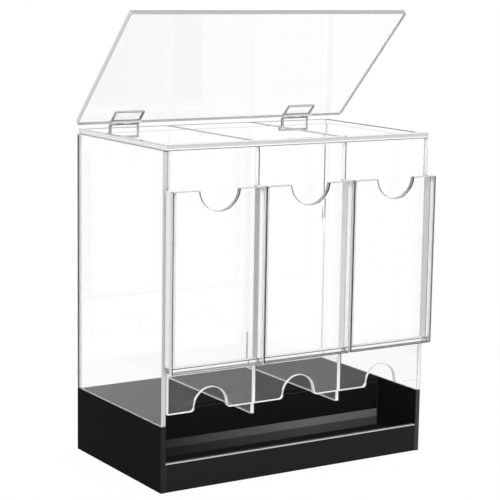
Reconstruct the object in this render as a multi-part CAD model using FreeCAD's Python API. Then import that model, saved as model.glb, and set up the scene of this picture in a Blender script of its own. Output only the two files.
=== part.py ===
"""Countertop dispenser for booster packs, with three columns side by side.

A black box forms the foot, with a finger trough along its front. A clear box stands on it, divided
into three columns, with a display pocket in front of each and a hinged lid on top. Every solid is
one sheet, strip, leaf or pin, as the real one is cut and glued.

Frame: origin at the middle of the foot's underside, +X to the right, +Y to the back, +Z up.
Lengths are millimetres.
"""
import FreeCAD
import Part
import os
from math import cos, radians, sin, sqrt

# Whole object
WIDTH = 236.0
DEPTH = 136.0
HEIGHT = 255.0
SHEET = 4.0
COLUMNS = 3

# Black foot
FOOT_HEIGHT = 50.0
LIP_HEIGHT = 22.0
TROUGH_DEPTH = 51.0
TROUGH_FLOOR_TOP = 10.0

# Clear box
FRONT_PROUD = 2.0
EDGE_INSET = 1.2
FRONT_BAR_INNER = 8.0
SIDE_BAR_INNER = 6.0

# Dispensing gap and the thumb arches over it
FRONT_LOWER_EDGE = 58.7
ARCH_RADIUS = 14.0
ARCH_CENTRE_RISE = 2.9
ARCH_FOOT_RADIUS = 3.0

# Display pockets
POCKET_GAP = 0.8
POCKET_BOTTOM = 91.0
POCKET_TOP = 223.0
POCKET_DEPTH = 10.9
NOTCH_RADIUS = 16.5
NOTCH_CENTRE_RISE = 1.0

# Lid
LID_OVERHANG = 5.0
LID_LENGTH = 123.0
LID_CLOSED_GAP = 0.2
LID_OPEN_ANGLE = 45.0
LID_CORNER_RADIUS = 1.5

# Hinges
HINGE_WIDTH = 26.0
HINGE_INSET = 25.2
LEAF_THICKNESS = 1.6
LEAF_LENGTH = 13.5
LEAF_BELOW_TOP = 8.5
KNUCKLES = 4
KNUCKLE_RADIUS = 2.0
KNUCKLE_GAP = 0.2
LEAF_NOTCH_GAP = 0.4
PIN_RADIUS = 0.8
PIN_PLAY = 0.05
PIN_END = 1.0
PIN_ABOVE_TOP = 5.0
LID_REAR_SETBACK = 2.6

# Worked out from the sizes above
LEFT = -WIDTH / 2
RIGHT = WIDTH / 2
FRONT = -DEPTH / 2
BACK = DEPTH / 2
INNER_LEFT = LEFT + SHEET
INNER_RIGHT = RIGHT - SHEET
INNER_BACK = BACK - SHEET
PANEL_TOP = HEIGHT - SHEET
PANEL_FRONT = FRONT - FRONT_PROUD
COLUMN_WIDTH = (WIDTH - (COLUMNS + 1) * SHEET) / COLUMNS
COLUMN_PITCH = COLUMN_WIDTH + SHEET
POCKET_WIDTH = (WIDTH - 2 * EDGE_INSET - (COLUMNS - 1) * POCKET_GAP) / COLUMNS
POCKET_FRONT = PANEL_FRONT - POCKET_DEPTH
PIN_Y = INNER_BACK - LEAF_THICKNESS / 2
PIN_Z = HEIGHT + PIN_ABOVE_TOP
HINGE_LEFTS = [LEFT + HINGE_INSET, RIGHT - HINGE_INSET - HINGE_WIDTH]


def block(x0, x1, y0, y1, z0, z1):
    """A rectangular piece between two corners."""
    return Part.makeBox(x1 - x0, y1 - y0, z1 - z0, FreeCAD.Vector(x0, y0, z0))


def cylinder_x(radius, x0, x1, y, z):
    """A round bar along X."""
    return Part.makeCylinder(radius, x1 - x0, FreeCAD.Vector(x0, y, z), FreeCAD.Vector(1, 0, 0))


def disc_y(radius, x, z, y0, y1):
    """A round cutter along Y."""
    return Part.makeCylinder(radius, y1 - y0, FreeCAD.Vector(x, y0, z), FreeCAD.Vector(0, 1, 0))


def column_centre(index):
    """The middle of a column, counted from the left."""
    return INNER_LEFT + COLUMN_WIDTH / 2 + index * COLUMN_PITCH


def foot_pieces():
    """Black sheets of the foot: an open-fronted box with a lip, a trough and a pack floor."""
    trough_back = FRONT + TROUGH_DEPTH
    deck_bottom = FOOT_HEIGHT - SHEET
    return {
        "foot_left_side": block(LEFT, INNER_LEFT, FRONT, BACK, 0, FOOT_HEIGHT),
        "foot_right_side": block(INNER_RIGHT, RIGHT, FRONT, BACK, 0, FOOT_HEIGHT),
        "foot_back": block(INNER_LEFT, INNER_RIGHT, INNER_BACK, BACK, 0, FOOT_HEIGHT),
        "foot_front_lip": block(INNER_LEFT, INNER_RIGHT, FRONT, FRONT + SHEET, 0, LIP_HEIGHT),
        "foot_bottom": block(INNER_LEFT, INNER_RIGHT, trough_back + SHEET, INNER_BACK, 0, SHEET),
        "trough_floor": block(INNER_LEFT, INNER_RIGHT, FRONT + SHEET, trough_back,
                              TROUGH_FLOOR_TOP - SHEET, TROUGH_FLOOR_TOP),
        "trough_back_wall": block(INNER_LEFT, INNER_RIGHT, trough_back, trough_back + SHEET,
                                  0, deck_bottom),
        "pack_floor": block(INNER_LEFT, INNER_RIGHT, trough_back, INNER_BACK,
                            deck_bottom, FOOT_HEIGHT),
    }


def arch_cutter(x):
    """The thumb arch at the front sheet's lower edge: a round top on two rounded feet."""
    centre_z = FRONT_LOWER_EDGE + ARCH_CENTRE_RISE
    foot_z = FRONT_LOWER_EDGE + ARCH_FOOT_RADIUS
    reach = sqrt((ARCH_RADIUS + ARCH_FOOT_RADIUS) ** 2 - (foot_z - centre_z) ** 2)
    opening = disc_y(ARCH_RADIUS, x, centre_z, PANEL_FRONT - 1, PANEL_FRONT + SHEET + 1)
    skirt = block(x - reach, x + reach, PANEL_FRONT - 1, PANEL_FRONT + SHEET + 1,
                  FRONT_LOWER_EDGE - 1, foot_z)
    for side in (-1, 1):
        foot = disc_y(ARCH_FOOT_RADIUS, x + side * reach, foot_z,
                      PANEL_FRONT - 2, PANEL_FRONT + SHEET + 2)
        skirt = skirt.cut(foot)
    return opening.fuse(skirt)


def clear_box_pieces():
    """Clear sheets of the box: sides, back, front, dividers and the frame on their top edges."""
    front = block(INNER_LEFT, INNER_RIGHT, PANEL_FRONT, PANEL_FRONT + SHEET,
                  FRONT_LOWER_EDGE, PANEL_TOP)
    for index in range(COLUMNS):
        front = front.cut(arch_cutter(column_centre(index)))
    opening = block(LEFT + SIDE_BAR_INNER, RIGHT - SIDE_BAR_INNER, FRONT + FRONT_BAR_INNER,
                    INNER_BACK, PANEL_TOP - 1, HEIGHT + 1)
    frame = block(LEFT + EDGE_INSET, RIGHT - EDGE_INSET, PANEL_FRONT, BACK, PANEL_TOP, HEIGHT)
    pieces = {
        "left_side_panel": block(LEFT, INNER_LEFT, FRONT, BACK, FOOT_HEIGHT, PANEL_TOP),
        "right_side_panel": block(INNER_RIGHT, RIGHT, FRONT, BACK, FOOT_HEIGHT, PANEL_TOP),
        "back_panel": block(INNER_LEFT, INNER_RIGHT, INNER_BACK, BACK, FOOT_HEIGHT, PANEL_TOP),
        "front_panel": front,
        "top_frame": frame.cut(opening),
    }
    for index, side in enumerate(["left", "right"]):
        x = INNER_LEFT + COLUMN_WIDTH + index * COLUMN_PITCH
        sheet = block(x, x + SHEET, PANEL_FRONT + SHEET, INNER_BACK, FOOT_HEIGHT, HEIGHT)
        under_bar = block(x - 1, x + SHEET + 1, FRONT, FRONT + FRONT_BAR_INNER, PANEL_TOP, HEIGHT + 1)
        pieces[side + "_divider"] = sheet.cut(under_bar)
    return pieces


def pocket_pieces(name, x0):
    """A display pocket: a face with a thumb notch on two side strips and a bottom strip."""
    x1 = x0 + POCKET_WIDTH
    strip_front = POCKET_FRONT + SHEET
    face = block(x0, x1, POCKET_FRONT, strip_front, POCKET_BOTTOM, POCKET_TOP)
    notch = disc_y(NOTCH_RADIUS, (x0 + x1) / 2, POCKET_TOP + NOTCH_CENTRE_RISE,
                   POCKET_FRONT - 1, strip_front + 1)
    strip_bottom = POCKET_BOTTOM + SHEET
    return {
        name + "_pocket_face": face.cut(notch),
        name + "_pocket_left_strip": block(x0, x0 + SHEET, strip_front, PANEL_FRONT,
                                           strip_bottom, POCKET_TOP),
        name + "_pocket_right_strip": block(x1 - SHEET, x1, strip_front, PANEL_FRONT,
                                            strip_bottom, POCKET_TOP),
        name + "_pocket_bottom_strip": block(x0, x1, strip_front, PANEL_FRONT,
                                             POCKET_BOTTOM, strip_bottom),
    }


def opened(shape):
    """A lid piece, modelled closed, turned about the hinge pins to where the open lid stands."""
    turned = shape.copy()
    turned.rotate(FreeCAD.Vector(0, PIN_Y, PIN_Z), FreeCAD.Vector(1, 0, 0), -LID_OPEN_ANGLE)
    return turned


def lid_sheet():
    """The lid: one clear sheet, a little wider than the box, with its corners just eased."""
    rear = PIN_Y - LID_REAR_SETBACK
    bottom = HEIGHT + LID_CLOSED_GAP
    sheet = block(LEFT - LID_OVERHANG, RIGHT + LID_OVERHANG, rear - LID_LENGTH, rear,
                  bottom, bottom + SHEET)
    corners = [edge for edge in sheet.Edges if abs(edge.tangentAt(edge.FirstParameter).z) > 0.9]
    return opened(sheet.makeFillet(LID_CORNER_RADIUS, corners))


def knuckle_span(x0, index):
    """Where a knuckle starts and ends along the pin."""
    length = HINGE_WIDTH / KNUCKLES
    start = x0 + index * length
    end = start + length
    if index > 0:
        start += KNUCKLE_GAP / 2
    if index < KNUCKLES - 1:
        end -= KNUCKLE_GAP / 2
    return start, end


def hinge_pieces(name, x0):
    """A hinge: a leaf on the back sheet, a leaf on the lid, and the pin through their knuckles."""
    x1 = x0 + HINGE_WIDTH
    notch = KNUCKLE_RADIUS + LEAF_NOTCH_GAP
    lid_leaf_bottom = HEIGHT + LID_CLOSED_GAP + SHEET
    body_leaf = block(x0, x1, INNER_BACK - LEAF_THICKNESS, INNER_BACK,
                      HEIGHT - LEAF_BELOW_TOP, PIN_Z - notch)
    lid_leaf = block(x0, x1, PIN_Y - LEAF_LENGTH, PIN_Y - notch,
                     lid_leaf_bottom, lid_leaf_bottom + LEAF_THICKNESS)
    for index in range(KNUCKLES):
        start, end = knuckle_span(x0, index)
        knuckle = cylinder_x(KNUCKLE_RADIUS, start, end, PIN_Y, PIN_Z)
        if index % 2:
            neck = block(start, end, INNER_BACK - LEAF_THICKNESS, INNER_BACK, PIN_Z - notch, PIN_Z)
            body_leaf = body_leaf.fuse(neck).fuse(knuckle)
        else:
            neck = block(start, end, PIN_Y - notch, PIN_Y, lid_leaf_bottom,
                         lid_leaf_bottom + LEAF_THICKNESS)
            lid_leaf = lid_leaf.fuse(neck).fuse(knuckle)
    tight_hole = cylinder_x(PIN_RADIUS, x0 - 1, x1 + 1, PIN_Y, PIN_Z)
    running_hole = cylinder_x(PIN_RADIUS + PIN_PLAY, x0 - 1, x1 + 1, PIN_Y, PIN_Z)
    return {
        name + "_hinge_body_leaf": body_leaf.cut(tight_hole).removeSplitter(),
        name + "_hinge_lid_leaf": opened(lid_leaf.cut(running_hole).removeSplitter()),
        name + "_hinge_pin": cylinder_x(PIN_RADIUS, x0 - PIN_END, x1 + PIN_END, PIN_Y, PIN_Z),
    }


def all_pieces():
    """Every piece of the dispenser by name, with the lid standing open."""
    pieces = {}
    pieces.update(foot_pieces())
    pieces.update(clear_box_pieces())
    for index, name in enumerate(["left", "middle", "right"]):
        x0 = LEFT + EDGE_INSET + index * (POCKET_WIDTH + POCKET_GAP)
        pieces.update(pocket_pieces(name, x0))
    pieces["lid_sheet"] = lid_sheet()
    for name, x0 in zip(["left", "right"], HINGE_LEFTS):
        pieces.update(hinge_pieces(name, x0))
    return pieces


def rear_underside_height():
    """How far the open lid's rear underside edge stands above the frame."""
    angle = radians(LID_OPEN_ANGLE)
    drop = PIN_ABOVE_TOP - LID_CLOSED_GAP
    return PIN_ABOVE_TOP + LID_REAR_SETBACK * sin(angle) - drop * cos(angle)


os.makedirs("parts", exist_ok=True)
for node, shape in all_pieces().items():
    solids = shape.Solids
    if len(solids) != 1 or not shape.isValid():
        raise ValueError(node + " is not one sound solid")
    solids[0].exportStep("parts/" + node + ".step")
    box = solids[0].BoundBox
    print(f"{node:28s} x {box.XMin:7.1f} {box.XMax:7.1f}  y {box.YMin:7.1f} {box.YMax:7.1f}"
          f"  z {box.ZMin:6.1f} {box.ZMax:6.1f}  {solids[0].Volume / 1000:7.2f} cm3")
print("open lid's rear edge above the frame:", round(rear_underside_height(), 2))
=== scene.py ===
"""Countertop booster pack dispenser, of clear and black acrylic sheet.

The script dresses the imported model: a white table and soft light, the black foot, the clear box
with its columns, the display pockets, the lid, and the two hinges.
"""
import math
import bmesh
import bpy
from mathutils import Matrix, Vector


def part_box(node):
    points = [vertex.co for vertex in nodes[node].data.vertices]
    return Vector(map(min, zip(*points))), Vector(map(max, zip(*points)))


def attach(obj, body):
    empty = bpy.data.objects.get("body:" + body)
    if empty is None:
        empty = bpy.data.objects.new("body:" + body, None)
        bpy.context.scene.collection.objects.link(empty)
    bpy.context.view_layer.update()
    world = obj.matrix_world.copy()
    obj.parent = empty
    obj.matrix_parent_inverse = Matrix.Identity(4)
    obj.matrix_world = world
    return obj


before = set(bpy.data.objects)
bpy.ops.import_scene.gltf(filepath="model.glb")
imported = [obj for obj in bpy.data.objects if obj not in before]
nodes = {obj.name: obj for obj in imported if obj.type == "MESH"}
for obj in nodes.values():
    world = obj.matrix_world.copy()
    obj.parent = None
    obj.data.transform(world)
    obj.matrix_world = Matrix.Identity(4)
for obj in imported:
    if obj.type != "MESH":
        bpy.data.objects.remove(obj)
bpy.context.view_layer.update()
bpy.context.scene.view_settings.view_transform = "Standard"


# The table, the room and the light
# A white table top under an even white room. The light is a large soft panel on the front left
# and a wide one above, as on a product table, and the camera stands at the front left.
def linear(code):
    """An sRGB hex code as the linear colour that a shader takes."""
    parts = [int(code[i:i + 2], 16) / 255 for i in (1, 3, 5)]
    return [c / 12.92 if c <= 0.04045 else ((c + 0.055) / 1.055) ** 2.4 for c in parts] + [1.0]


def add(tree, kind, settings=None, **links):
    """Adds a node: settings are its properties or inputs by name, links feed its sockets."""
    made = tree.nodes.new(kind)
    for name, value in (settings or {}).items():
        if name in made.inputs:
            made.inputs[name].default_value = value
        else:
            setattr(made, name, value)
    for name, source in links.items():
        key = int(name[1:]) if name[0] == "_" else name.replace("__", " ")
        tree.links.new(source, made.inputs[key])
    return made


def material(name):
    """An empty material, its node tree and its output node."""
    made = bpy.data.materials.new(name)
    made.use_nodes = True
    made.node_tree.nodes.clear()
    return made, made.node_tree, made.node_tree.nodes.new("ShaderNodeOutputMaterial")


def shows_background(tree):
    """1 for a ray from the camera, through glass or off gloss, and 0 for one that only lights."""
    ray = add(tree, "ShaderNodeLightPath")
    shown = ray.outputs["Is Camera Ray"]
    for other in ["Is Transmission Ray", "Is Glossy Ray"]:
        shown = add(tree, "ShaderNodeMath", {"operation": "MAXIMUM"}, _0=shown,
                    _1=ray.outputs[other]).outputs[0]
    return shown


# The walls look white and grow greyer towards the ceiling, so a sheet that leans back is a shade
# darker than an upright one. The room lights the object a little less brightly than it looks.
room_light = 0.62
wall_tone, ceiling_tone = 1.0, 0.45
wall_top, ceiling_start = 0.22, 0.6
world = bpy.data.worlds.new("white_room")
bpy.context.scene.world = world
world.use_nodes = True
room = world.node_tree
room.nodes.clear()
place = add(room, "ShaderNodeTexCoord")
height = add(room, "ShaderNodeSeparateXYZ", _0=place.outputs["Generated"])
fade = {"From Min": wall_top, "From Max": ceiling_start, "To Min": wall_tone, "To Max": ceiling_tone}
ceiling = add(room, "ShaderNodeMapRange", fade, Value=height.outputs["Z"])
strength = add(room, "ShaderNodeMix", {"data_type": "FLOAT"}, Factor=shows_background(room),
               _3=ceiling.outputs[0])
strength.inputs[2].default_value = room_light
walls = add(room, "ShaderNodeBackground", {"Color": linear("#ffffff")}, Strength=strength.outputs[0])
room_out = room.nodes.new("ShaderNodeOutputWorld")
room.links.new(walls.outputs[0], room_out.inputs["Surface"])

# The table top lies a fifth of a millimetre low, so that the foot's underside shows nowhere in it.
reach = 6.0
gap = 0.0002
table_top = bpy.data.meshes.new("table_top")
table_top.from_pydata([(-reach, -reach, 0), (reach, -reach, 0), (reach, reach, 0),
                       (-reach, reach, 0)], [], [(0, 1, 2, 3)])
table = bpy.data.objects.new("table", table_top)
bpy.context.scene.collection.objects.link(table)
table.location.z = -gap

# Painted board, matt, so it takes a soft shadow and shows no lamp. It looks white, and a little
# less so near the object, where the shadow shows on it.
near, far = 0.2, 0.7
near_tone = 0.97
white_board, tree, out = material("matt_white_board")
paint = add(tree, "ShaderNodeBsdfPrincipled", {"Base Color": linear("#f4f4f4"), "Roughness": 0.9,
                                               "Specular IOR Level": 0.0})
spot = add(tree, "ShaderNodeTexCoord")
distance = add(tree, "ShaderNodeVectorMath", {"operation": "LENGTH"}, _0=spot.outputs["Object"])
tone = add(tree, "ShaderNodeMapRange", {"From Min": near, "From Max": far, "To Min": near_tone},
           Value=distance.outputs["Value"])
glow = add(tree, "ShaderNodeEmission", {"Color": linear("#ffffff"), "Strength": 1.0})
part = add(tree, "ShaderNodeMath", {"operation": "MULTIPLY"}, _0=shows_background(tree),
           _1=tone.outputs[0])
mixed = add(tree, "ShaderNodeMixShader", _0=part.outputs[0], _1=paint.outputs[0], _2=glow.outputs[0])
tree.links.new(mixed.outputs[0], out.inputs["Surface"])
table_top.materials.append(white_board)


def soft_panel(name, size, power, place, target):
    """A square studio light that faces a point."""
    lamp = bpy.data.lights.new(name, "AREA")
    lamp.shape = "SQUARE"
    lamp.size = size
    lamp.energy = power
    stand = bpy.data.objects.new(name, lamp)
    bpy.context.scene.collection.objects.link(stand)
    stand.location = place
    stand.rotation_euler = (Vector(target) - Vector(place)).to_track_quat("-Z", "Y").to_euler()


middle = (0, 0, 0.15)
soft_panel("key_panel", 1.1, 14, (-0.7, -1.5, 1.4), middle)
soft_panel("top_panel", 1.2, 10, (0.3, 0.2, 1.7), middle)

# The camera's place, angles and lens are solved from the box's corners in the photograph.
camera_place = (-0.6996, -1.1063, 0.3794)
azimuth, elevation, roll = (math.radians(angle) for angle in (-32.249, 9.460, 0.908))
camera = bpy.data.objects.new("camera", bpy.data.cameras.new("camera"))
bpy.context.scene.collection.objects.link(camera)
camera.data.sensor_width = 36.0
camera.data.lens = 122.04
camera.data.clip_start = 0.05
back = Vector((math.sin(azimuth) * math.cos(elevation), -math.cos(azimuth) * math.cos(elevation),
               math.sin(elevation)))
right = Vector((0, 0, 1)).cross(back).normalized()
up = back.cross(right)
side = right * math.cos(roll) + up * math.sin(roll)
top = up * math.cos(roll) - right * math.sin(roll)
turn = Matrix((side, top, back)).transposed().to_4x4()
camera.matrix_world = Matrix.Translation(camera_place) @ turn
bpy.context.scene.camera = camera


# The black foot
# Gloss black cast acrylic, 4 mm thick, sawn, scraped along its edges and cemented into a box.
# The faces are deep black, the sawn edges a little greyer, and the lip's top edge has a painted
# highlight.
MM = 0.001
FACE, ARRIS = "face", "arris"
WAYS = {"left": Vector((-1, 0, 0)), "right": Vector((1, 0, 0)), "front": Vector((0, -1, 0)),
        "rear": Vector((0, 1, 0)), "up": Vector((0, 0, 1)), "down": Vector((0, 0, -1))}


def rule(old, new, way, least=0.8, side=None):
    """What has one finish and faces a way gets another finish, on one side of the middle if it is
    given. FACE and ARRIS stand for a sheet's first two finishes. Least is how nearly it faces that
    way, 1 being straight on."""
    return old, new, way, least, side


def sorted_by_side(name, rules):
    """Modifier nodes that change a face's finish by the way it faces and the side it is on."""
    group = bpy.data.node_groups.new(name, "GeometryNodeTree")
    for way in ("INPUT", "OUTPUT"):
        group.interface.new_socket("Geometry", in_out=way, socket_type="NodeSocketGeometry")
    shape = group.nodes.new("NodeGroupInput").outputs[0]
    facing = add(group, "GeometryNodeInputNormal").outputs[-1]
    spot = add(group, "GeometryNodeInputPosition").outputs[0]
    slot = add(group, "GeometryNodeInputMaterialIndex").outputs[0]

    def within(value, low, high):
        """1 where a value is between two numbers, and otherwise 0."""
        test = add(group, "ShaderNodeMath", {"operation": "COMPARE"}, _0=value)
        test.inputs[1].default_value = (low + high) / 2
        test.inputs[2].default_value = (high - low) / 2
        return test.outputs[0]

    def along(vector, way):
        """How far a vector reaches along the ways that words such as rear left name."""
        reach = add(group, "ShaderNodeVectorMath", {"operation": "DOT_PRODUCT"}, _0=vector)
        reach.inputs[1].default_value = sum((WAYS[word] for word in way.split()),
                                            Vector()).normalized()
        return reach.outputs["Value"]

    for old, new, way, least, side in rules:
        tests = [within(along(facing, way), least, 1.1), within(slot, old - 0.4, old + 0.4)]
        if side:
            tests.append(within(along(spot, side), 0.0, 1.0))
        chosen = tests[0]
        for test in tests[1:]:
            chosen = add(group, "ShaderNodeMath", {"operation": "MULTIPLY"}, _0=chosen,
                         _1=test).outputs[0]
        shape = add(group, "GeometryNodeSetMaterialIndex", {"Material Index": new}, Geometry=shape,
                    Selection=chosen).outputs[0]
    group.links.new(shape, group.nodes.new("NodeGroupOutput").inputs[0])
    return group


def eased(node, ease, face, arris, rules=()):
    """Takes a sheet's sharp edges down by a few tenths of a millimetre, leaves a hairline at its
    joints, and gives its faces, its scraped edges and what the rules name their finishes."""
    finishes = [face, arris]
    slots = []
    for old, new, way, least, side in rules:
        pair = []
        for finish in (old, new):
            if finish in (FACE, ARRIS):
                pair.append((FACE, ARRIS).index(finish))
                continue
            if finish not in finishes[2:]:
                finishes.append(finish)
            pair.append(finishes.index(finish, 2))
        slots.append((*pair, way, least, side))
    node.data.materials.clear()
    for finish in finishes:
        node.data.materials.append(finish)
    joined = node.modifiers.new("joined_faces", "WELD")
    joined.merge_threshold = 0.001 * MM
    scraped = node.modifiers.new("scraped_edges", "BEVEL")
    scraped.width = ease
    scraped.segments = 2
    scraped.limit_method = "ANGLE"
    scraped.angle_limit = math.radians(40)
    scraped.use_clamp_overlap = False
    scraped.harden_normals = True
    scraped.material = 1
    if slots:
        sides = node.modifiers.new("finish_by_side", "NODES")
        sides.node_group = sorted_by_side(node.name + "_sides", slots)
    hairline = node.modifiers.new("cement_joint", "DISPLACE")
    hairline.strength = -0.03 * MM
    hairline.mid_level = 0.0


def edge_finish(name, dark, light, roughness=0.5, grain=0.6, line=None):
    """An opaque edge: two close greys in fine grain, grain being its size in millimetres. A line
    along it has another tone: it begins that far from the edge's start, goes on to its end, and
    comes again on each such edge at a spacing."""
    made, tree, out = material(name)
    spot = add(tree, "ShaderNodeTexCoord")
    marks = add(tree, "ShaderNodeTexNoise", {"Scale": 1000 / grain, "Detail": 3.0},
                Vector=spot.outputs["Object"])
    tone = add(tree, "ShaderNodeMix", {"data_type": "RGBA"}, Factor=marks.outputs["Fac"])
    tone.inputs[6].default_value = linear(dark)
    tone.inputs[7].default_value = linear(light)
    if line:
        place = add(tree, "ShaderNodeSeparateXYZ", _0=spot.outputs["Object"])
        across = add(tree, "ShaderNodeMath", {"operation": "SUBTRACT"}, _0=place.outputs[line["axis"]])
        across.inputs[1].default_value = line["start"]
        across = add(tree, "ShaderNodeMath", {"operation": "FLOORED_MODULO"}, _0=across.outputs[0])
        across.inputs[1].default_value = line.get("spacing", 1.0)
        beyond = add(tree, "ShaderNodeMath", {"operation": "GREATER_THAN"}, _0=across.outputs[0])
        beyond.inputs[1].default_value = line["beyond"]
        tone = add(tree, "ShaderNodeMix", {"data_type": "RGBA"}, Factor=beyond.outputs[0],
                   _6=tone.outputs[2])
        tone.inputs[7].default_value = linear(line["tone"])
    edge = add(tree, "ShaderNodeBsdfPrincipled", {"Roughness": roughness, "IOR": 1.49,
                                                  "Specular IOR Level": 0.1},
               Base__Color=tone.outputs[2])
    tree.links.new(edge.outputs[0], out.inputs["Surface"])
    return made


# Cast between glass plates: a deep black with a very dim gloss, uneven in patches of 55 mm.
black_acrylic, tree, out = material("black_cast_acrylic")
spot = add(tree, "ShaderNodeTexCoord")
haze = add(tree, "ShaderNodeTexNoise", {"Scale": 1000 / 55, "Detail": 4.0},
           Vector=spot.outputs["Object"])
rough = add(tree, "ShaderNodeMapRange", {"From Min": 0.35, "From Max": 0.7, "To Min": 0.1,
                                         "To Max": 0.16}, Value=haze.outputs["Fac"])
shine = add(tree, "ShaderNodeBsdfPrincipled", {"Base Color": linear("#131314"), "IOR": 1.49,
                                               "Specular IOR Level": 0.006},
            Roughness=rough.outputs[0])
tree.links.new(shine.outputs[0], out.inputs["Surface"])

# Scraped and sawn black edges are dull, so they show as lines a little greyer than the faces. The
# right side's front edge is painted lighter, as painted light. The lip's top arris is painted pale
# grey, as a painted highlight.
black_arris = edge_finish("scraped_black_arris", "#222223", "#2c2c2d", roughness=0.4, grain=0.8)
black_sawn = edge_finish("sawn_black_edge", "#202021", "#282829", roughness=0.4, grain=0.8)
black_sawn_painted_lit = edge_finish("sawn_black_edge_painted_lit", "#3a3a3b", "#444445", roughness=0.4,
                                  grain=0.8)
lip_painted_highlight = edge_finish("black_arris_painted_highlight", "#c6c6c6", "#d8d8d8", roughness=0.4, grain=0.8)
# The lip is a satin black, a touch lighter than the other black faces and slightly uneven.
satin_black = edge_finish("satin_lighter_black_acrylic", "#161617", "#1e1e1f", roughness=0.3, grain=2.0)
for name in ["foot_back", "foot_bottom"]:
    eased(nodes[name], 0.4 * MM, black_acrylic, black_arris)
for name, sawn in [("foot_left_side", black_sawn), ("foot_right_side", black_sawn_painted_lit)]:
    eased(nodes[name], 0.4 * MM, black_acrylic, black_arris,
          [rule(FACE, sawn, "front"), rule(ARRIS, sawn, "front", 0.5)])
eased(nodes["foot_front_lip"], 0.7 * MM, satin_black, black_arris,
      [rule(ARRIS, lip_painted_highlight, "up", 0.3)])

# These two sheets are worn by what slides out over them. Fine scuffs, about 1 mm wide and 20 mm
# long, run front to back. They take the gloss away and leave a dull dark grey.
scuff_width = 1.1
worn_acrylic, tree, out = material("black_acrylic_worn_by_sliding")
spot = add(tree, "ShaderNodeTexCoord")
drawn_out = add(tree, "ShaderNodeMapping", _0=spot.outputs["Object"])
drawn_out.inputs["Scale"].default_value = (1.0, 0.05, 1.0)
scuffs = add(tree, "ShaderNodeTexNoise", {"Scale": 1000 / scuff_width, "Detail": 4.0},
             Vector=drawn_out.outputs[0])
tone = add(tree, "ShaderNodeMix", {"data_type": "RGBA"}, Factor=scuffs.outputs["Fac"])
tone.inputs[6].default_value = linear("#161617")
tone.inputs[7].default_value = linear("#272728")
worn = add(tree, "ShaderNodeBsdfPrincipled", {"Roughness": 0.5, "IOR": 1.49,
                                              "Specular IOR Level": 0.0},
           Base__Color=tone.outputs[2])
tree.links.new(worn.outputs[0], out.inputs["Surface"])
for name in ["pack_floor", "trough_floor"]:
    eased(nodes[name], 0.4 * MM, worn_acrylic, black_arris)

# Light falling in under the packs onto the trough's back wall is painted into its colour: two grey
# strips along its foot, a darker one below and a lighter one above, and black over them. The
# painted light begins near the left end and grows stronger to the right.
black = linear("#18181a")
band_left, band_full, band_least = -0.1, 0.05, 0.1
ramp_top = 0.05
strips = [(0.0096, linear("#5a5a5a")), (0.0168, linear("#888888"))]
strips_top = 0.0233
painted_light_acrylic, tree, out = material("black_acrylic_with_painted_light_band")
spot = add(tree, "ShaderNodeTexCoord")
place = add(tree, "ShaderNodeSeparateXYZ", _0=spot.outputs["Object"])
share = add(tree, "ShaderNodeMapRange", {"From Min": band_left, "From Max": band_full,
                                         "To Min": band_least}, Value=place.outputs["X"])
begun = add(tree, "ShaderNodeMath", {"operation": "GREATER_THAN"}, _0=place.outputs["X"])
begun.inputs[1].default_value = band_left
share = add(tree, "ShaderNodeMath", {"operation": "MULTIPLY"}, _0=share.outputs[0],
            _1=begun.outputs[0])
height = add(tree, "ShaderNodeMapRange", {"From Min": 0.0, "From Max": ramp_top},
             Value=place.outputs["Z"])
band = add(tree, "ShaderNodeValToRGB", Fac=height.outputs[0])
band.color_ramp.interpolation = "CONSTANT"
band.color_ramp.elements[0].color = black
band.color_ramp.elements[1].position = strips_top / ramp_top
band.color_ramp.elements[1].color = black
for bottom, colour in strips:
    step = band.color_ramp.elements.new(bottom / ramp_top)
    step.color = colour
tone = add(tree, "ShaderNodeMix", {"data_type": "RGBA"}, Factor=share.outputs[0],
           _7=band.outputs["Color"])
tone.inputs[6].default_value = black
painted_light_shader = add(tree, "ShaderNodeBsdfPrincipled", {"Roughness": 0.35, "IOR": 1.49,
                                                "Specular IOR Level": 0.02},
             Base__Color=tone.outputs[2])
tree.links.new(painted_light_shader.outputs[0], out.inputs["Surface"])
eased(nodes["trough_back_wall"], 0.4 * MM, painted_light_acrylic, black_arris)

# The black sheets stay out of the clear ones' reflections, so that those look clean.
for name in ["foot_back", "foot_bottom", "trough_floor", "pack_floor", "trough_back_wall",
             "foot_left_side", "foot_right_side", "foot_front_lip"]:
    nodes[name].visible_glossy = False


# The clear box
# Clear cast acrylic, 4 mm thick. Its faces and cemented edges are clear, its free sawn edges pale
# grey, and each scraped arris is a fine line, painted dark on some sides and pale on others as
# painted light and shade.

# Light is turned back inside a sheet many times before it leaves, so a ray has many bounces.
bounces = 96
bpy.context.scene.cycles.max_bounces = bounces
bpy.context.scene.cycles.transmission_bounces = bounces
bpy.context.scene.cycles.glossy_bounces = bounces


def clear_plastic(name, patch, haze, settings, passed="#ffffff"):
    """A clear plastic that lets the lamps through, a little rough in patches of so many mm. Haze
    is the span of the pattern that counts, then the least and the most roughness."""
    made, tree, out = material(name)
    spot = add(tree, "ShaderNodeTexCoord")
    handled = add(tree, "ShaderNodeTexNoise", {"Scale": 1000 / patch, "Detail": 5.0},
                  Vector=spot.outputs["Object"])
    rough = add(tree, "ShaderNodeMapRange", dict(zip(["From Min", "From Max", "To Min", "To Max"],
                                                     haze)), Value=handled.outputs["Fac"])
    clear = add(tree, "ShaderNodeBsdfPrincipled", {"Transmission Weight": 1.0, **settings},
                Roughness=rough.outputs[0])
    ray = add(tree, "ShaderNodeLightPath")
    through = add(tree, "ShaderNodeBsdfTransparent", {"Color": linear(passed)})
    lit = add(tree, "ShaderNodeMixShader", _0=ray.outputs["Is Shadow Ray"], _1=clear.outputs[0],
              _2=through.outputs[0])
    tree.links.new(lit.outputs[0], out.inputs["Surface"])
    return made


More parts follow.
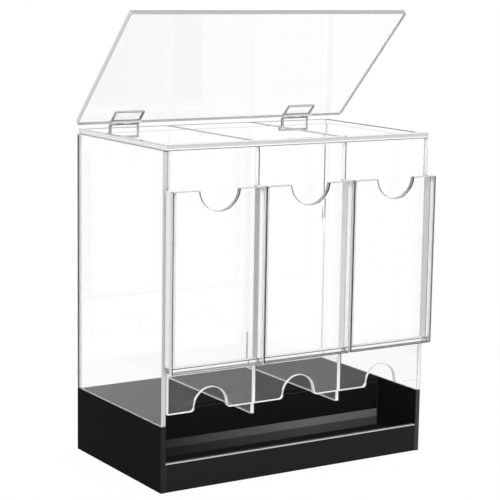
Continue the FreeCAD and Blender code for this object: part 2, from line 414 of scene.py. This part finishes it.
# Cast and still polished: colourless and sharp to look through, with the faintest haze of handling.
clear_acrylic = clear_plastic("clear_cast_acrylic", 33, (0.4, 0.75, 0.0, 0.02),
                              {"Base Color": linear("#ffffff"), "IOR": 1.49,
                               "Specular IOR Level": 0.1})
# A scraper leaves a fine matt facet, which shows as a line. Its tone is painted light and shade:
# pale where it faces the white room, grey in half light, dark where it faces the black foot.
arris_painted_lit = edge_finish("scraped_arris_painted_lit", "#eeeeee", "#fafafa", grain=0.8)
arris_painted_half_lit = edge_finish("scraped_arris_painted_half_lit", "#b8b8b8", "#c4c4c4", grain=0.8)
arris_painted_shade = edge_finish("scraped_arris_painted_shade", "#303030", "#3c3c3c", grain=0.8)
# A saw leaves an edge dull and whitish, so a sheet is seen by its edges.
pale_sawn = edge_finish("pale_sawn_edge", "#f8f8f8", "#ffffff")
grey_sawn = edge_finish("grey_sawn_edge", "#dcdcdc", "#e8e8e8")

# The left side panel's front edge is a light grey post. Its rear edge is painted near black behind
# a pale sliver, as painted shade, and draws the dark upright line at the box's left.
left_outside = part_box("left_side_panel")[0][0]
front_sawn = edge_finish("left_panel_front_edge", "#cccbc9", "#d8d7d5")
rear_sawn_painted_shade = edge_finish("left_panel_rear_edge_painted_shade", "#f8f8f8", "#ffffff", line={
    "axis": "X", "start": left_outside, "beyond": 0.8 * MM, "tone": "#0c0c0c"})
eased(nodes["left_side_panel"], 0.6 * MM, clear_acrylic, clear_acrylic,
      [rule(FACE, front_sawn, "front"), rule(ARRIS, front_sawn, "front left"),
       rule(FACE, rear_sawn_painted_shade, "rear"), rule(ARRIS, rear_sawn_painted_shade, "rear right"),
       rule(ARRIS, arris_painted_lit, "left up", 0.9)])
# The right side panel's edges are pale, with a grey line of painted shade along their outer side.
right_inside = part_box("right_side_panel")[0][0]
right_sawn_painted_shade = edge_finish("sawn_edge_with_painted_shade_side", "#f8f8f8", "#ffffff", line={
    "axis": "X", "start": right_inside, "beyond": 3.2 * MM, "tone": "#707070"})
eased(nodes["right_side_panel"], 0.6 * MM, clear_acrylic, clear_acrylic,
      [rule(FACE, right_sawn_painted_shade, "front"), rule(FACE, right_sawn_painted_shade, "rear")])
# The dividers' front edges are pale with a dark line of painted shade at their right, and their tops
# are grey.
first_divider, second_divider = (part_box(name)[0][0] for name in ["left_divider", "right_divider"])
divider_sawn_painted_shade = edge_finish("divider_edge_with_painted_shade_side", "#f8f8f8", "#ffffff", line={
    "axis": "X", "start": first_divider, "spacing": second_divider - first_divider,
    "beyond": 2.8 * MM, "tone": "#2a2a2a"})
divider_top = edge_finish("sawn_divider_top", "#b0b0b0", "#bcbcbc")
for name in ["left_divider", "right_divider"]:
    eased(nodes[name], 0.6 * MM, clear_acrylic, clear_acrylic,
          [rule(FACE, divider_sawn_painted_shade, "front"), rule(FACE, divider_top, "up"),
           rule(ARRIS, arris_painted_shade, "front right"), rule(ARRIS, divider_top, "up", 0.3)])
# The back panel's right end is pale, with one dark stretch of painted shade, 62 mm long, as in the
# photograph. It ends 18 mm under the frame, so the line starts one spacing, which is 1 m, below that.
dark_length, dark_top = 62 * MM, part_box("back_panel")[1][2] - 18 * MM
back_sawn_painted_shade = edge_finish("back_panel_edge_with_painted_shade", "#f8f8f8", "#ffffff", line={
    "axis": "Z", "start": dark_top - 1.0, "beyond": 1.0 - dark_length, "tone": "#303030"})
eased(nodes["back_panel"], 0.6 * MM, clear_acrylic, clear_acrylic,
      [rule(FACE, back_sawn_painted_shade, "right"), rule(FACE, pale_sawn, "left"),
       rule(ARRIS, pale_sawn, "left", 0.3)])
# The front panel is pale along its ends and round its three thumb arches.
eased(nodes["front_panel"], 0.6 * MM, clear_acrylic, clear_acrylic,
      [rule(FACE, pale_sawn, "left", 0.998), rule(FACE, pale_sawn, "right"),
       rule(ARRIS, arris_painted_lit, "left", 0.3), rule(ARRIS, arris_painted_lit, "down", 0.1),
       rule(FACE, pale_sawn, "down", 0.02)])
# The frame's front edge is pale for 1.5 mm at its foot and light grey above as painted shade, as
# in the photograph, and dark and grey arrises, painted shade, rule fine lines along the frame.
frame_sawn_painted_shade = edge_finish("frame_edge_painted_grey_over_a_pale_foot", "#f8f8f8", "#ffffff", line={
    "axis": "Z", "start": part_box("top_frame")[0][2], "beyond": 1.5 * MM, "tone": "#d2d2d2"})
frame_arris_painted_shade = edge_finish("frame_arris_painted_dark", "#3a3a3a", "#464646", grain=0.8)
eased(nodes["top_frame"], 0.5 * MM, clear_acrylic, arris_painted_lit,
      [rule(FACE, frame_sawn_painted_shade, "front", side="front"), rule(FACE, pale_sawn, "left", side="left"),
       rule(ARRIS, arris_painted_half_lit, "left down", side="left"),
       rule(ARRIS, frame_arris_painted_shade, "front down", side="front"),
       rule(ARRIS, frame_arris_painted_shade, "left up", side="right"),
       rule(ARRIS, arris_painted_half_lit, "left up", side="left"),
       rule(ARRIS, arris_painted_half_lit, "front up", side="rear"),
       rule(ARRIS, arris_painted_half_lit, "front up", side="front"),
       rule(ARRIS, FACE, "down", 0.3)])


# The display pockets
# Each is a notched face on three narrow strips, cemented to the front panel. The face's own
# edges show dark at the sides and in the thumb notch, as painted shade, and grey along the top.

# The notch is sawn round and left as cut: an even grey.
notch_sawn = edge_finish("notch_sawn_edge", "#a8a8a8", "#b4b4b4")
# The strips' outer edges are almost white; the last one looks out past the box and is painted
# dark, as painted shade.
side_sawn = edge_finish("strip_outer_edge", "#f4f4f4", "#fcfcfc")
end_sawn_painted_shade = edge_finish("last_strip_outer_edge_painted_shade", "#6a6a6a", "#787878")
# A right strip's inner edge shows through the face as a broad band, cloudy in patches of 1.2 mm.
# Its grey is painted shade and differs from pocket to pocket, darkest on the left one.
for column, ease, dark, light in [("left", 0.5, "#b6b6ba", "#cacace"),
                                  ("middle", 0.7, "#eaeaea", "#f6f6f6"),
                                  ("right", 0.7, "#dcdcdc", "#ececec")]:
    strip_sawn_painted_shade = edge_finish(column + "_strip_inner_edge_painted_shade", dark, light, grain=1.2)
    end = arris_painted_shade if column == "right" else ARRIS
    eased(nodes[f"{column}_pocket_face"], ease * MM, clear_acrylic, clear_acrylic,
          [rule(FACE, end, "right", 0.998), rule(FACE, grey_sawn, "left", 0.998),
           rule(FACE, grey_sawn, "up", 0.998), rule(FACE, arris_painted_shade, "right", 0.3),
           rule(FACE, notch_sawn, "up", 0.02), rule(FACE, grey_sawn, "down"),
           rule(ARRIS, arris_painted_shade, "front left", 0.75), rule(ARRIS, arris_painted_shade, "front down", 0.75),
           rule(ARRIS, arris_painted_half_lit, "front", 0.3)])
    for strip, left_edge in [("left_strip", side_sawn), ("right_strip", strip_sawn_painted_shade)]:
        rules = [rule(FACE, pale_sawn, "up"), rule(FACE, pale_sawn, "front"),
                 rule(FACE, left_edge, "left")]
        if (column, strip) == ("right", "right_strip"):
            rules.append(rule(FACE, end_sawn_painted_shade, "right"))
        eased(nodes[f"{column}_pocket_{strip}"], 0.4 * MM, clear_acrylic, clear_acrylic, rules)
    eased(nodes[f"{column}_pocket_bottom_strip"], 0.5 * MM, clear_acrylic, arris_painted_half_lit,
          [rule(FACE, grey_sawn, "up"), rule(ARRIS, arris_painted_shade, "front up")])


# The lid
# One clear sheet with its corners just eased, cemented to the hinges' upper leaves. Its front
# edge is a grey band, and its rear edge is pale at the hinges, a painted reflection of them, and
# greyer elsewhere.

# Extruded and polished. Its IOR is set lower than acrylic's 1.49, so that the columns hardly show
# in the lid's lower face, which the photograph has an even pale grey.
lid_acrylic = clear_plastic("clear_extruded_acrylic", 33, (0.4, 0.75, 0.0, 0.02),
                            {"Base Color": linear("#fdfdfd"), "IOR": 1.25,
                             "Specular IOR Level": 0.1})
# The hinges' reflection in the rear edge is painted as a paler stretch over each leaf's width, in
# cloudy patches of 1.6 mm.
left_leaf, right_leaf = (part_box(f"{hinge}_hinge_body_leaf") for hinge in ["left", "right"])
lid_rear_painted_reflection = edge_finish("lid_edge_with_painted_hinge_reflection", "#cecece", "#f6f6f6", grain=1.6, line={
    "axis": "X", "start": left_leaf[0][0], "spacing": right_leaf[0][0] - left_leaf[0][0],
    "beyond": left_leaf[1][0] - left_leaf[0][0], "tone": "#b4b4b4"})
eased(nodes["lid_sheet"], 0.4 * MM, lid_acrylic, arris_painted_half_lit,
      [rule(FACE, grey_sawn, "left", 0.5), rule(FACE, grey_sawn, "right", 0.5),
       rule(FACE, notch_sawn, "front up", 0.9), rule(FACE, lid_rear_painted_reflection, "rear down", 0.9),
       rule(ARRIS, arris_painted_shade, "down", 0.9), rule(ARRIS, arris_painted_shade, "up", 0.9)])


# The hinges
# Clear moulded leaves with a thin raised rim, cemented on, and a steel pin through their
# knuckles. The rims and knuckles are painted grey as painted shade, the flat of a leaf is as clear
# as the sheet. The rim is a grey bead that stands for the shade along a leaf's edge.

# Injection moulded: clear, with a ripple of flow marks 3 mm wide that softens what is behind it.
hinge_plastic = clear_plastic("clear_moulded_hinge_plastic", 3, (0.35, 0.7, 0.01, 0.06),
                              {"Base Color": linear("#ffffff"), "IOR": 1.49,
                               "Specular IOR Level": 0.3}, passed="#fcfcfc")
# Rounded moulded edges bend the light away; that shade is painted in as grey, the knuckles darkest.
hinge_rim_painted_shade = edge_finish("moulded_hinge_rim_painted_shade", "#c2c2c2", "#d0d0d0", roughness=0.35, grain=0.5)
hinge_knuckle_painted_shade = edge_finish("moulded_hinge_knuckle_painted_shade", "#9a9a9a", "#a6a6a6", roughness=0.35, grain=0.5)
# Cold drawn steel: bright, with fine lines along its length, 0.3 mm apart and 10 mm long.
line_spacing = 0.3
steel, tree, out = material("drawn_steel_pin")
spot = add(tree, "ShaderNodeTexCoord")
drawn_out = add(tree, "ShaderNodeMapping", _0=spot.outputs["Object"])
drawn_out.inputs["Scale"].default_value = (0.03, 1.0, 1.0)
marks = add(tree, "ShaderNodeTexNoise", {"Scale": 1000 / line_spacing, "Detail": 2.0},
            Vector=drawn_out.outputs[0])
tone = add(tree, "ShaderNodeMix", {"data_type": "RGBA"}, Factor=marks.outputs["Fac"])
tone.inputs[6].default_value = linear("#b8b8ba")
tone.inputs[7].default_value = linear("#d6d6d8")
rough = add(tree, "ShaderNodeMapRange", {"To Min": 0.2, "To Max": 0.35}, Value=marks.outputs["Fac"])
drawn = add(tree, "ShaderNodeBsdfPrincipled", {"Metallic": 1.0}, Base__Color=tone.outputs[2],
            Roughness=rough.outputs[0])
tree.links.new(drawn.outputs[0], out.inputs["Surface"])


def bordered(name, body, x0, x1, y0, y1, place):
    """The raised border moulded round a leaf's face, grey as painted shade, lying flat, with its fold
    side at y1, put in its place and moving with a body."""
    made = bmesh.new()
    rings = []
    # From the leaf's edge inwards: how far in at three sides, how far in at the fold, how high.
    for inset, fold_inset, high in [(0.4, 0.2, 0.0), (0.5, 0.3, 0.3), (1.8, 0.8, 0.3), (2.0, 0.9, 0.0)]:
        left, right = x0 + inset * MM, x1 - inset * MM
        front, fold = y0 + inset * MM, y1 - fold_inset * MM
        rings.append([made.verts.new((x, y, high * MM)) for x, y in [
            (left, front), (right, front), (right, fold), (left, fold)]])
    for one, other in zip(rings, rings[1:] + rings[:1]):
        for i in range(4):
            made.faces.new([one[i], one[(i + 1) % 4], other[(i + 1) % 4], other[i]])
    bmesh.ops.recalc_face_normals(made, faces=made.faces)
    mesh = bpy.data.meshes.new(name)
    made.to_mesh(mesh)
    made.free()
    mesh.materials.append(hinge_rim_painted_shade)
    mesh.transform(place)
    border = bpy.data.objects.new(name, mesh)
    bpy.context.scene.collection.objects.link(border)
    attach(border, body)


# The leaves stand on the pin's centre plane, and a rim stops short of the barrel. The lid is
# stored open, so its leaves and rims are tilted.
pin_y, pin_z = 63.2 * MM, 260 * MM
leaf_thickness, leaf_length = 1.6 * MM, 13.5 * MM
barrel_reach = 2.4 * MM
lid_tilt = math.radians(-45)
upright = Matrix.Translation((0, pin_y - leaf_thickness / 2, 0)) @ Matrix.Rotation(
    math.radians(90), 4, "X")
tilted = Matrix.Translation((0, pin_y, pin_z)) @ Matrix.Rotation(lid_tilt, 4, "X") @ (
    Matrix.Translation((0, 0, leaf_thickness / 2)))
for hinge, (low, high) in [("left", left_leaf), ("right", right_leaf)]:
    eased(nodes[f"{hinge}_hinge_body_leaf"], 0.75 * MM, hinge_plastic, hinge_rim_painted_shade,
          [rule(FACE, hinge_knuckle_painted_shade, "up", -1.1), rule(hinge_knuckle_painted_shade, FACE, "front", 0.98),
           rule(hinge_knuckle_painted_shade, FACE, "rear", 0.98)])
    eased(nodes[f"{hinge}_hinge_lid_leaf"], 0.75 * MM, hinge_plastic, hinge_rim_painted_shade,
          [rule(FACE, hinge_knuckle_painted_shade, "up", -1.1), rule(hinge_knuckle_painted_shade, FACE, "rear up", 0.98),
           rule(hinge_knuckle_painted_shade, FACE, "front down", 0.98)])
    eased(nodes[f"{hinge}_hinge_pin"], 0.1 * MM, steel, steel)
    bordered(f"{hinge}_hinge_body_painted_shade_rim", "box", low[0], high[0], low[2],
             low[2] + leaf_length - barrel_reach, upright)
    bordered(f"{hinge}_hinge_lid_painted_shade_rim", "lid", low[0], high[0], -leaf_length, -barrel_reach, tilted)
